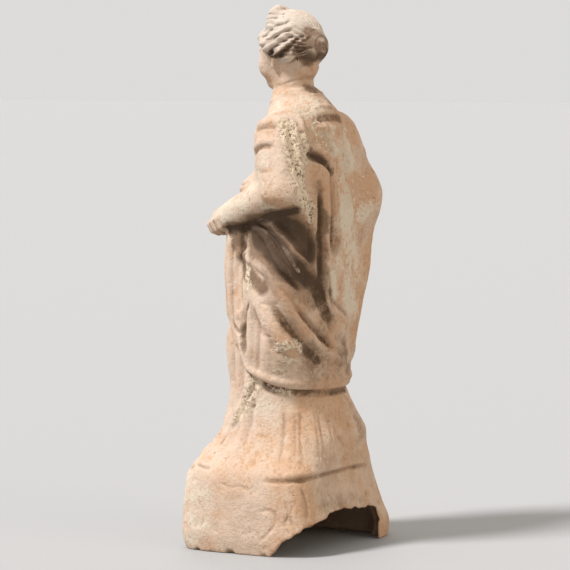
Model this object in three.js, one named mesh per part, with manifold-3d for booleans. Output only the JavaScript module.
// A hollow terracotta statuette of a draped woman on a low base, in millimetres.
// She looks along -Y, her left hand is on the +X side, and +Z is up.
// The origin is at the middle of the base's underside.
//
// Each form is described as a field: a function of a point that is negative inside the clay
// and positive outside it. A three.js capsule or sphere is drawn in along its own rays until
// its skin meets the form, fold lines are raised on it, and the closed skins are joined and
// cut with manifold-3d.
import * as THREE from "three";
import { mergeVertices } from "three/addons/utils/BufferGeometryUtils.js";
import Module from "manifold-3d";

const wasm = await Module();
wasm.setup();

const clamp = THREE.MathUtils.clamp;
const lerp = THREE.MathUtils.lerp;
const smoothstep = THREE.MathUtils.smoothstep;
const radians = THREE.MathUtils.degToRad;
const point = (x, y, z) => new THREE.Vector3(x, y, z);

// Driving dimensions
const WALL = 4.5; // thickness of the fired clay
const CAVITY_TOP = 142; // centre of the hollow's rounded end, in the chest
const CAVITY_CEILING = 158; // height where the rounded end closes, under the neck
const CAVITY_SWAP = { low: 60, high: 92 }; // the hollow turns from the skirt's form to the mantle's
const AXIS_Y = 4; // the upright line that fold angles are measured about passes through here
const HEM_UNDERCUT = 1.5; // the mantle's edge is hollowed by this much underneath

const HEAD = { centre: point(-0.5, 0.6, 192), turn: -12, nod: 4 }; // turn and nod in degrees
const SHOULDER = { x: 22.5, y: 8.6, z: 158.5, radius: 8.8 };
const ELBOW = { x: 29, y: 13, z: 139, radius: 8 }; // her left, held at her side
const WRIST = { x: 20.6, y: -10.6, z: 129.4, radius: 5.4 };
const HAND = { x: 17.2, y: -18.6, z: 126, radius: 5.1 };
const FAR_ELBOW = { x: -28.4, y: 15.6, z: 134.5, radius: 8.4 }; // her right, hand on hip
const FAR_HAND = { x: -25, y: -3, z: 120, radius: 7.2 };

const CLAY = { color: 0xd9a684, roughness: 0.9, metalness: 0 };

// Sections of the chiton and the base: height, centre x and y, half width, front and back half
// depth, and squareness, where 2 is an ellipse.
const CHITON_ROWS = [
  [-14, -0.4, 0, 37.4, 29.2, 30.6, 5.2],
  [-2, -0.4, 0, 38.2, 29.8, 30.8, 5.2],
  [6, -0.2, 0, 39.3, 30.8, 30.8, 5.6],
  [14, 0.8, 0, 38.2, 30.6, 28.6, 5.4],
  [24, 2, 0, 37.0, 30.2, 26.6, 4.8],
  [31, 2, 0, 35.8, 29.6, 26.4, 4.0],
  [37, 0, 0, 33.5, 26.6, 27.4, 2.8],
  [44, -2, 0, 31.5, 22.4, 27.6, 2.4],
  [52, -1, 0.5, 28.5, 20.8, 24.2, 2.2],
  [60, 0, 0.8, 26.8, 19.6, 21.0, 2.1],
  [76, 0, 1.2, 26.0, 19.4, 18.5, 2.1],
  [92, 0, 2.5, 25.0, 15.5, 16.0, 2.1],
];

// The same for the mantle, up to the neck.
const MANTLE_ROWS = [
  [54, 0, 0.8, 28.2, 20.5, 21.8, 2.1],
  [68, 0, 1.0, 29.0, 20.6, 21.6, 2.2],
  [78, 0, 1.5, 29.2, 20.4, 20.4, 2.2],
  [90, -1, 2.5, 29.6, 19.2, 19.4, 2.2],
  [105, -1, 4.0, 30.0, 19.0, 19.2, 2.2],
  [120, -1, 5.0, 28.2, 18.0, 18.6, 2.2],
  [133, -0.5, 6.5, 26.6, 15.8, 17.8, 2.3],
  [148, 0, 7.5, 26.2, 13.6, 15.8, 2.5],
  [158, 0, 7.5, 24.2, 11.6, 14.2, 2.4],
  [166, 0, 6.5, 19.0, 11.4, 13.8, 2.2],
  [171, 0, 5.0, 14.0, 9.8, 12.6, 2.0],
  [175, 0, 4.0, 9.6, 8.4, 10.2, 2.0],
];

// Height of the mantle's hem at angles about the upright axis: her left side is 0, her back is
// 90 and her front is -90.
const HEM_ROWS = [
  [-180, 62.5],
  [-150, 65],
  [-120, 76],
  [-90, 84],
  [-60, 88],
  [-36, 87],
  [-24, 80],
  [-15, 71.5],
  [-6, 67.5],
  [6, 64.5],
  [22, 62.5],
  [45, 61.5],
  [120, 61],
  [180, 62.5],
];

// Fields

// The lower of two fields, rounded over the width k where they meet.
function blend(a, b, k) {
  const h = Math.max(k - Math.abs(a - b), 0) / k;
  return Math.min(a, b) - (h * h * k) / 4;
}

// What is left of a when b is taken from it, and what a and b have in common.
const carve = (a, b, k) => -blend(-a, b, k);
const common = (a, b, k) => -blend(-a, -b, k);

function ellipsoid(p, centre, radii) {
  const q = p.clone().sub(centre).divide(radii);
  const k0 = q.length();
  const k1 = q.divide(radii).length();
  return (k0 * (k0 - 1)) / Math.max(k1, 1e-6);
}

// A tapered limb from a to b, with round ends.
function limb(p, a, b, radiusA, radiusB) {
  const along = b.clone().sub(a);
  const t = clamp(p.clone().sub(a).dot(along) / Math.max(along.lengthSq(), 1e-6), 0, 1);
  return p.distanceTo(a.clone().addScaledVector(along, t)) - lerp(radiusA, radiusB, t);
}

// Several limbs end to end, through joints given as [x, y, z, radius].
function limbs(p, joints) {
  let nearest = Infinity;
  for (let i = 1; i < joints.length; i++) {
    const [ax, ay, az, ar] = joints[i - 1];
    const [bx, by, bz, br] = joints[i];
    nearest = Math.min(nearest, limb(p, point(ax, ay, az), point(bx, by, bz), ar, br));
  }
  return nearest;
}

const joint = (place) => [place.x, place.y, place.z, place.radius];
const mirrored = ([x, y, z, radius]) => [-x, y, z, radius];

// The row of sizes at a height or angle, on a smooth curve through the stations.
function rowAt(rows, where) {
  const last = rows.length - 1;
  const station = clamp(where, rows[0][0], rows[last][0]);
  let i = 0;
  while (i < last - 1 && station > rows[i + 1][0]) i++;
  const before = rows[Math.max(i - 1, 0)];
  const a = rows[i];
  const b = rows[i + 1];
  const after = rows[Math.min(i + 2, last)];
  const span = b[0] - a[0];
  const t = (station - a[0]) / span;
  const t2 = t * t;
  const t3 = t2 * t;
  return a.map((value, n) => {
    const slopeA = ((b[n] - before[n]) / (b[0] - before[0])) * span;
    const slopeB = ((after[n] - value) / (after[0] - a[0])) * span;
    const start = value * (2 * t3 - 3 * t2 + 1) + slopeA * (t3 - 2 * t2 + t);
    return start + b[n] * (3 * t2 - 2 * t3) + slopeB * (t3 - t2);
  });
}

// A body whose sections are squared ellipses, deeper in front or behind.
function loft(p, rows) {
  const [, x, y, side, front, back, square] = rowAt(rows, p.z);
  const depth = p.y < y ? front : back;
  const across = Math.abs(p.x - x) / side;
  const along = Math.abs(p.y - y) / depth;
  const reach = (across ** square + along ** square) ** (1 / square);
  return (reach - 1) * Math.min(side, front, back);
}

// The forms

const FEET = [
  [[12, -21, 34, 5], [14.5, -26, 32.6, 3.8]],
  [[-12, -19, 34, 5], [-14, -24, 32.8, 3.8]],
];
const KNEE = { centre: point(12, -8.6, 80), radii: point(8.5, 8.5, 17) };
const BREAST = { x: 8.5, y: -2.2, z: 149, radius: 6.2 };

// The hollow under the left forearm, between the hand and the cloth that falls behind the arm.
const POCKET = [
  [38, -6, 121, 10.5],
  [38.5, 6, 121, 11],
  [33, 22, 119, 10],
];

// The rolled upper edge of the mantle, from the left elbow round the waist to the right hip.
const ROLL = [
  [22, 2, 138.5, 5.4],
  [17.5, -5, 137.5, 5.6],
  [6, -9, 134, 5.4],
  [-10, -10.5, 128, 5],
  [-25, -4, 119, 4.4],
];

// The end of the mantle, hanging flat from the left wrist, as [x, y, z, half width].
const FALL = [
  [18.5, -11.5, 126, 6],
  [18.4, -12.6, 108, 6.6],
  [19.6, -11.6, 92, 6],
  [23.5, -8.6, 80, 2.4],
];
const FALL_FLATNESS = 0.6;
const FALL_TURN = 50; // degrees from +X to the direction of its width

function chitonField(p) {
  let d = Math.max(loft(p, CHITON_ROWS), CHITON_ROWS[0][0] - p.z);
  for (const foot of FEET) d = blend(d, limbs(p, foot), 4);
  return blend(d, ellipsoid(p, KNEE.centre, KNEE.radii), 6);
}

function mantleField(p) {
  const farArm = [mirrored(joint(SHOULDER)), joint(FAR_ELBOW), joint(FAR_HAND)];
  const farFall = [joint(FAR_ELBOW), [-27, 11.2, 108, 9.4], [-22, 7.6, 78, 7.2]];
  const nearFall = [[27, 14, 132, 6], [25, 13, 104, 6.5], [22, 10, 80, 6]];
  const neck = [[0, 4, 168, 8], [-0.3, 2.4, 186, 7.4]];
  const breast = [BREAST.x, BREAST.y, BREAST.z, BREAST.radius];
  let d = loft(p, MANTLE_ROWS);
  d = Math.max(d, p.z - MANTLE_ROWS[MANTLE_ROWS.length - 1][0]);
  d = blend(d, limbs(p, [joint(SHOULDER), joint(ELBOW)]), 6);
  d = blend(d, limbs(p, farArm), 8);
  d = blend(d, limbs(p, farFall), 9);
  d = blend(d, limbs(p, nearFall), 8);
  d = blend(d, limbs(p, [breast, breast]), 4);
  d = blend(d, limbs(p, [mirrored(breast), mirrored(breast)]), 4);
  d = carve(d, limbs(p, POCKET), 4);
  d = blend(d, limbs(p, ROLL), 4);
  d = blend(d, ellipsoid(p, KNEE.centre, KNEE.radii), 6);
  return blend(d, limbs(p, neck), 3);
}

// The left forearm and its closed hand.
function forearmField(p) {
  const knuckles = [HAND.x + 1.5, HAND.y + 1, HAND.z - 3.5, 3.4];
  const elbow = [ELBOW.x - 1, ELBOW.y - 2, ELBOW.z - 1, ELBOW.radius - 1];
  const arm = limbs(p, [elbow, joint(WRIST), joint(HAND)]);
  return blend(arm, limbs(p, [joint(HAND), knuckles]), 2);
}

const HEAD_FRAME = new THREE.Matrix4()
  .makeRotationZ(radians(HEAD.turn))
  .multiply(new THREE.Matrix4().makeRotationX(radians(HEAD.nod)))
  .setPosition(HEAD.centre);
const INTO_HEAD = HEAD_FRAME.clone().invert();

// The head, in its own frame: it looks along -Y, and the origin is between the temples.
function headField(p) {
  const q = p.clone().applyMatrix4(INTO_HEAD);
  const half = point(Math.abs(q.x), q.y, q.z);
  const roll = [[2, -8.8, 7, 1.9], [8.2, -5.4, 4.4, 2.4], [10.8, 0, 0.8, 2.8], [9.6, 6, -2, 3.2]];
  const crest = [[0, -4, 15.6, 1.9], [4, -3, 14, 2.2], [8.2, -1.2, 9.6, 2]];
  const nose = [[0, -10.6, 1.4, 1.2], [0, -12.4, -4.6, 1.6]];
  const lips = [[0, -10.8, -8.6, 1.2], [2, -10.2, -8.5, 0.9]];
  let d = ellipsoid(q, point(0, 1.5, 1.5), point(11, 12, 12.2));
  d = blend(d, ellipsoid(q, point(0, -2.8, -4), point(8.6, 8.6, 11.2)), 3);
  d = blend(d, ellipsoid(q, point(0, -7.4, -12.2), point(3.4, 3.2, 2.9)), 3);
  d = carve(d, ellipsoid(half, point(3.8, -11.4, -0.4), point(2.6, 2, 1.7)), 1.2);
  d = blend(d, limbs(q, nose), 1.4);
  d = blend(d, limbs(half, lips), 1);
  d = blend(d, ellipsoid(q, point(0, 2.6, 3.2), point(12, 11.6, 11.8)), 2);
  d = blend(d, limbs(half, roll), 2);
  d = blend(d, ellipsoid(q, point(0, 12.2, 0), point(6.4, 5.6, 6.2)), 2.5);
  d = blend(d, ellipsoid(q, point(0, 8.4, -7), point(6.2, 4.8, 6.4)), 3);
  return blend(d, limbs(half, crest), 2);
}

// The hollow is open below and follows the outer form one wall's thickness inside it.
function hollowField(p) {
  const share = smoothstep(p.z, CAVITY_SWAP.low, CAVITY_SWAP.high);
  const inside = lerp(loft(p, CHITON_ROWS), loft(p, MANTLE_ROWS), share) + WALL;
  return common(inside, p.z - CAVITY_CEILING, 8);
}

// Skins

function normalOf(field, p) {
  const e = 0.2;
  const slope = (x, y, z) =>
    field(p.clone().add(point(x, y, z))) - field(p.clone().sub(point(x, y, z)));
  return point(slope(e, 0, 0), slope(0, e, 0), slope(0, 0, e)).normalize();
}

// The outermost point of a field along a ray.
function outermost(field, origin, direction, reach) {
  const step = 1.5;
  const place = (t) => origin.clone().addScaledVector(direction, t);
  let outside = reach;
  while (outside > step && field(place(outside - step)) > 0) outside -= step;
  let inside = Math.max(outside - step, 0);
  for (let i = 0; i < 18; i++) {
    const middle = (inside + outside) / 2;
    if (field(place(middle)) > 0) outside = middle;
    else inside = middle;
  }
  return place(inside);
}

// The geometry's vertices joined where they meet, with nothing kept but their places.
function closed(geometry) {
  const bare = geometry.clone();
  bare.deleteAttribute("normal");
  bare.deleteAttribute("uv");
  return mergeVertices(bare, 1e-4);
}

function solid(geometry) {
  return new wasm.Manifold(
    new wasm.Mesh({
      numProp: 3,
      vertProperties: new Float32Array(geometry.attributes.position.array),
      triVerts: new Uint32Array(geometry.index.array),
    }),
  );
}

// A skin drawn in onto a field. It starts as a capsule of unit radius, whose rays leave the
// line from low to high. With a hem, the lowest ring follows it and the end below is flat.
function skin({ low, high, caps, around, along, reach = 60, field, folds = [], hem }) {
  const half = high.distanceTo(low) / 2;
  const capsule = new THREE.CapsuleGeometry(1, 2 * half, caps, around, along);
  const geometry = closed(capsule.rotateX(Math.PI / 2));
  const position = geometry.attributes.position;
  const axis = high.clone().sub(low).normalize();
  const lean = new THREE.Quaternion().setFromUnitVectors(point(0, 0, 1), axis);
  for (let i = 0; i < position.count; i++) {
    const start = point().fromBufferAttribute(position, i);
    const level = clamp(start.z, -half, half);
    const share = (level + half) / (2 * half);
    const origin = low.clone().lerp(high, share);
    const direction = start.clone().sub(point(0, 0, level));
    const foot = hem ? hem(Math.atan2(direction.y, direction.x)) : low.z;
    const below = hem && start.z < -half + 1e-3;
    const spread = below ? Math.hypot(direction.x, direction.y) : 1;
    if (hem) origin.z = lerp(foot, high.z, share);
    if (below) direction.z = 0;
    if (!hem) direction.applyQuaternion(lean);
    if (direction.lengthSq() < 1e-6) direction.set(1, 0, 0);
    const p = outermost(field, origin, direction.normalize(), reach);
    p.addScaledVector(normalOf(field, p), relief(folds, p));
    if (below) p.lerp(origin, 1 - spread).setZ(p.z + HEM_UNDERCUT * (1 - spread));
    position.setXYZ(i, p.x, p.y, p.z);
  }
  return solid(geometry);
}

// Folds

// A fold line laid on a field, through turns given as [angle, height] about the upright axis.
// A negative rise makes a groove.
function fold(field, width, rise, turns) {
  const places = turns.map(([angle, height]) => {
    const out = point(Math.cos(radians(angle)), Math.sin(radians(angle)), 0);
    return outermost(field, point(0, AXIS_Y, height), out, 60);
  });
  return line(width, rise, places);
}

// A lock of hair, through turns given as [angle, elevation] about the middle of the head.
function lock(width, rise, turns, side) {
  const places = turns.map(([angle, elevation]) => {
    const flat = Math.cos(radians(elevation));
    const out = point(
      side * flat * Math.cos(radians(angle)),
      flat * Math.sin(radians(angle)),
      Math.sin(radians(elevation)),
    );
    return outermost(headField, HEAD.centre, out.transformDirection(HEAD_FRAME), 26);
  });
  return line(width, rise, places);
}

function line(width, rise, places) {
  const steps = 4 * (places.length - 1);
  const points = new THREE.CatmullRomCurve3(places).getPoints(steps);
  return { width, rise, points, box: new THREE.Box3().setFromPoints(points).expandByScalar(width) };
}

// How far the folds lift a point of the skin.
function relief(folds, p) {
  let lift = 0;
  for (const { width, rise, points, box } of folds) {
    if (!box.containsPoint(p)) continue;
    let nearest = Infinity;
    let where = 0;
    for (let i = 1; i < points.length; i++) {
      const segment = new THREE.Line3(points[i - 1], points[i]);
      const t = segment.closestPointToPointParameter(p, true);
      const distance = segment.at(t, point()).distanceTo(p);
      if (distance < nearest) {
        nearest = distance;
        where = (i - 1 + t) / (points.length - 1);
      }
    }
    const flank = smoothstep(width - nearest, 0, width);
    const taper = smoothstep(where, -0.08, 0.12) * smoothstep(1 - where, -0.08, 0.12);
    lift += rise * taper * flank;
  }
  return lift;
}

// Ridges that fan from the left hand down and back round the hip, and the mantle's edges.
function mantleFolds() {
  const ridges = [
    [5.4, 1.8, [[-6, 113], [9, 110], [19, 104], [28, 100], [37, 95], [54, 91], [83, 85], [112, 81]]],
    [5.6, 2.2, [[-3, 108], [7, 103], [15, 98], [28, 90], [43, 83], [57, 80], [76, 76], [106, 73]]],
    [4.4, 1.5, [[-3, 127], [9, 124], [23, 117], [28, 114], [37, 110]]],
    [4.6, 1.5, [[-14, 121], [-4, 118], [6, 113], [16, 107], [28, 101]]],
    [4.8, 1.5, [[45, 138], [44, 125], [42, 116], [38, 108]]],
    [4.4, 1.2, [[60, 140], [60, 131], [62, 121], [64, 112], [62, 104]]],
    [5, 1.3, [[33, 160], [34, 150], [36, 143], [40, 136]]],
    [4.4, 1.3, [[58, 171], [66, 167], [78, 166]]],
    [5.5, 1.1, [[-14, 98], [-7, 90], [-6, 80], [-7, 70]]],
  ];
  const grooves = [
    [4.2, -2, [[36, 153], [50, 151], [60, 148], [68, 144]]],
    [4, -1.4, [[52, 139], [52, 129], [53, 119], [54, 108], [55, 101]]],
    [4, -1.2, [[35, 130], [36, 120], [34, 112]]],
    [4, -1.2, [[-1, 97], [0, 88], [0, 78], [-2, 70]]],
    [4, -1.5, [[23, 164], [25, 155], [27, 146], [29, 139]]],
  ];
  const rows = [...ridges, ...grooves, ...frontFolds()];
  const edge = [[63, 168], [70, 162], [79, 154], [80, 145], [81, 133], [85, 122], [79, 113], [66, 105]];
  rows.push([4.4, 1.1, edge]);
  rows.push([4.4, 1.1, [[66, 105], [65, 98], [77, 92], [100, 88], [124, 85]]]);
  return rows.map(([width, rise, turns]) => fold(mantleField, width, rise, turns));
}

// Folds that sag across the front from the left hand to the right hip and knee, the folds of
// the chiton over the chest, and those that ring the right sleeve.
function frontFolds() {
  const rows = [];
  for (let i = 0; i < 4; i++) {
    const start = [-48, 122 - 7.5 * i];
    const end = [-158, 116 - 9.5 * i];
    rows.push([4.8, 2, [start, [-80, start[1] - 9], [-116, end[1] - 6], end]]);
  }
  for (let i = 0; i < 4; i++) {
    const angle = -122 + 21 * i;
    rows.push([3.6, 1, [[angle, 166], [0.85 * angle - 14, 154], [0.8 * angle - 18, 142]]]);
  }
  for (let i = 0; i < 3; i++) {
    const height = 152 - 11 * i;
    rows.push([4.8, 1.4, [[-202, height - 5], [-176, height], [-150, height - 4]]]);
  }
  return rows;
}

// The chiton falls in upright folds between and beside the feet, fainter towards the left.
function chitonFolds() {
  const rows = [];
  for (let i = 0; i < 9; i++) {
    const angle = -152 + 14.5 * i;
    const rise = 0.9 + 0.8 * Math.sin((i / 8) * Math.PI);
    rows.push([3.9, rise, [[angle, 90], [angle, 62], [angle * 1.02 + 2, 38]]]);
  }
  for (let i = 0; i < 6; i++) rows.push([3.6, 0.5, [[14 + 16 * i, 61], [14 + 16 * i, 34]]]);
  return rows.map(([width, rise, turns]) => fold(chitonField, width, rise, turns));
}

// Locks swept back from the temples to the bun, the same on both sides.
function locks() {
  const rows = [
    [2.6, 1.3, [[-40, 16], [-11, 13], [6, 21], [31, 29], [52, 34]]],
    [2.6, 1.4, [[-30, 3], [-1, 2], [13, 9], [31, 19], [48, 22]]],
    [2.4, 1.3, [[14, -12], [20, -8], [31, 2], [44, 10]]],
    [2.4, 1.1, [[36, -2], [46, 4], [58, 10], [70, 14]]],
    [2.6, 1.4, [[20, -30], [31, -24], [47, -16], [62, -10]]],
    [3, -2.2, [[16, -16], [26, -12], [36, -5], [46, 1]]],
    [2.4, -0.9, [[-14, 25], [14, 37], [34, 41]]],
  ];
  const both = [];
  for (const side of [1, -1])
    for (const [width, rise, turns] of rows) both.push(lock(width, rise, turns, side));
  return both;
}

// Sub-parts

function chiton() {
  const ends = { low: point(0, 0, -8), high: point(0, 1, 92) };
  const grid = { caps: 2, around: 56, along: 26 };
  return skin({ ...ends, ...grid, field: chitonField, folds: chitonFolds() });
}

function mantle() {
  const hem = (angle) => rowAt(HEM_ROWS, THREE.MathUtils.radToDeg(angle))[1];
  const ends = { low: point(0, AXIS_Y, 60), high: point(0, AXIS_Y, 154) };
  const grid = { caps: 6, around: 62, along: 26 };
  return skin({ ...ends, ...grid, field: mantleField, folds: mantleFolds(), hem });
}

function forearm() {
  const ends = { low: point(HAND.x, HAND.y, HAND.z), high: point(ELBOW.x, ELBOW.y, ELBOW.z) };
  return skin({ ...ends, caps: 2, around: 12, along: 6, reach: 20, field: forearmField });
}

// The hanging end as one closed skin, bent along a curve through its joints.
function fall() {
  const around = 12;
  const along = 8;
  const curve = new THREE.CatmullRomCurve3(FALL.map(([x, y, z]) => point(x, y, z)));
  const sizes = new THREE.CatmullRomCurve3(FALL.map((row, i) => point(i, row[3], 0)));
  const capsule = new THREE.CapsuleGeometry(1, 2, 2, around, along).rotateX(Math.PI / 2);
  const geometry = closed(capsule);
  const position = geometry.attributes.position;
  for (let i = 0; i < position.count; i++) {
    const start = point().fromBufferAttribute(position, i);
    const level = clamp(start.z, -1, 1);
    const share = (1 - level) / 2;
    const back = curve.getTangent(share).negate();
    const lean = new THREE.Quaternion().setFromUnitVectors(point(0, 0, 1), back);
    const out = start.sub(point(0, 0, level)).multiplyScalar(sizes.getPoint(share).y);
    out.multiply(point(1, FALL_FLATNESS, 1)).applyAxisAngle(point(0, 0, 1), radians(FALL_TURN));
    const p = curve.getPoint(share).add(out.applyQuaternion(lean));
    position.setXYZ(i, p.x, p.y, p.z);
  }
  return solid(geometry);
}

function head() {
  const ends = { low: HEAD.centre.clone().setZ(HEAD.centre.z - 1), high: HEAD.centre };
  const grid = { caps: 10, around: 36, along: 1, reach: 26 };
  return skin({ ...ends, ...grid, field: headField, folds: locks() });
}

function hollow() {
  const ends = { low: point(0, 1, -8), high: point(0, 5, CAVITY_TOP) };
  return skin({ ...ends, caps: 2, around: 24, along: 11, field: hollowField });
}

// The broken corner: the outline of the missing wall, as [across, height], cut straight
// through the back left of the base.
const BREAK_TURN = 28; // degrees from +X to the direction of the cut
const BREAK_NEAR = 70;
const BREAK_FAR = -12;
const BREAK_OUTLINE = [
  [-7.5, -20],
  [-6.5, 0],
  [-2, 5.8],
  [5.4, 10.4],
  [12.7, 13.2],
  [16.4, 14.9],
  [21.8, 15.5],
  [26.9, 14.3],
  [35.6, 12.6],
  [36.6, -20],
];

function missingCorner() {
  const outline = new THREE.Shape(BREAK_OUTLINE.map(([u, z]) => new THREE.Vector2(u, z)));
  const options = { depth: BREAK_NEAR - BREAK_FAR, bevelEnabled: false };
  const wedge = new THREE.ExtrudeGeometry(outline, options).translate(0, 0, BREAK_FAR);
  const turn = new THREE.Matrix4().makeBasis(
    point(-Math.sin(radians(BREAK_TURN)), Math.cos(radians(BREAK_TURN)), 0),
    point(0, 0, 1),
    point(Math.cos(radians(BREAK_TURN)), Math.sin(radians(BREAK_TURN)), 0),
  );
  return solid(closed(wedge.applyMatrix4(turn)));
}

function belowGround() {
  return solid(closed(new THREE.BoxGeometry(200, 200, 60).translate(0, 0, -30)));
}

const figure = chiton().add(mantle()).add(forearm()).add(fall()).add(head());
const clay = figure.subtract(hollow()).subtract(missingCorner());

function meshOf(manifold, name, look) {
  const { vertProperties, triVerts } = manifold.getMesh();
  const geometry = new THREE.BufferGeometry();
  geometry.setAttribute("position", new THREE.BufferAttribute(vertProperties, 3));
  geometry.setIndex(new THREE.BufferAttribute(triVerts, 1));
  geometry.computeVertexNormals();
  const mesh = new THREE.Mesh(geometry, new THREE.MeshStandardMaterial(look));
  mesh.name = name;
  return mesh;
}

const statuette = new THREE.Group();
statuette.add(meshOf(clay.subtract(belowGround()), "statuette", CLAY));

export default statuette;
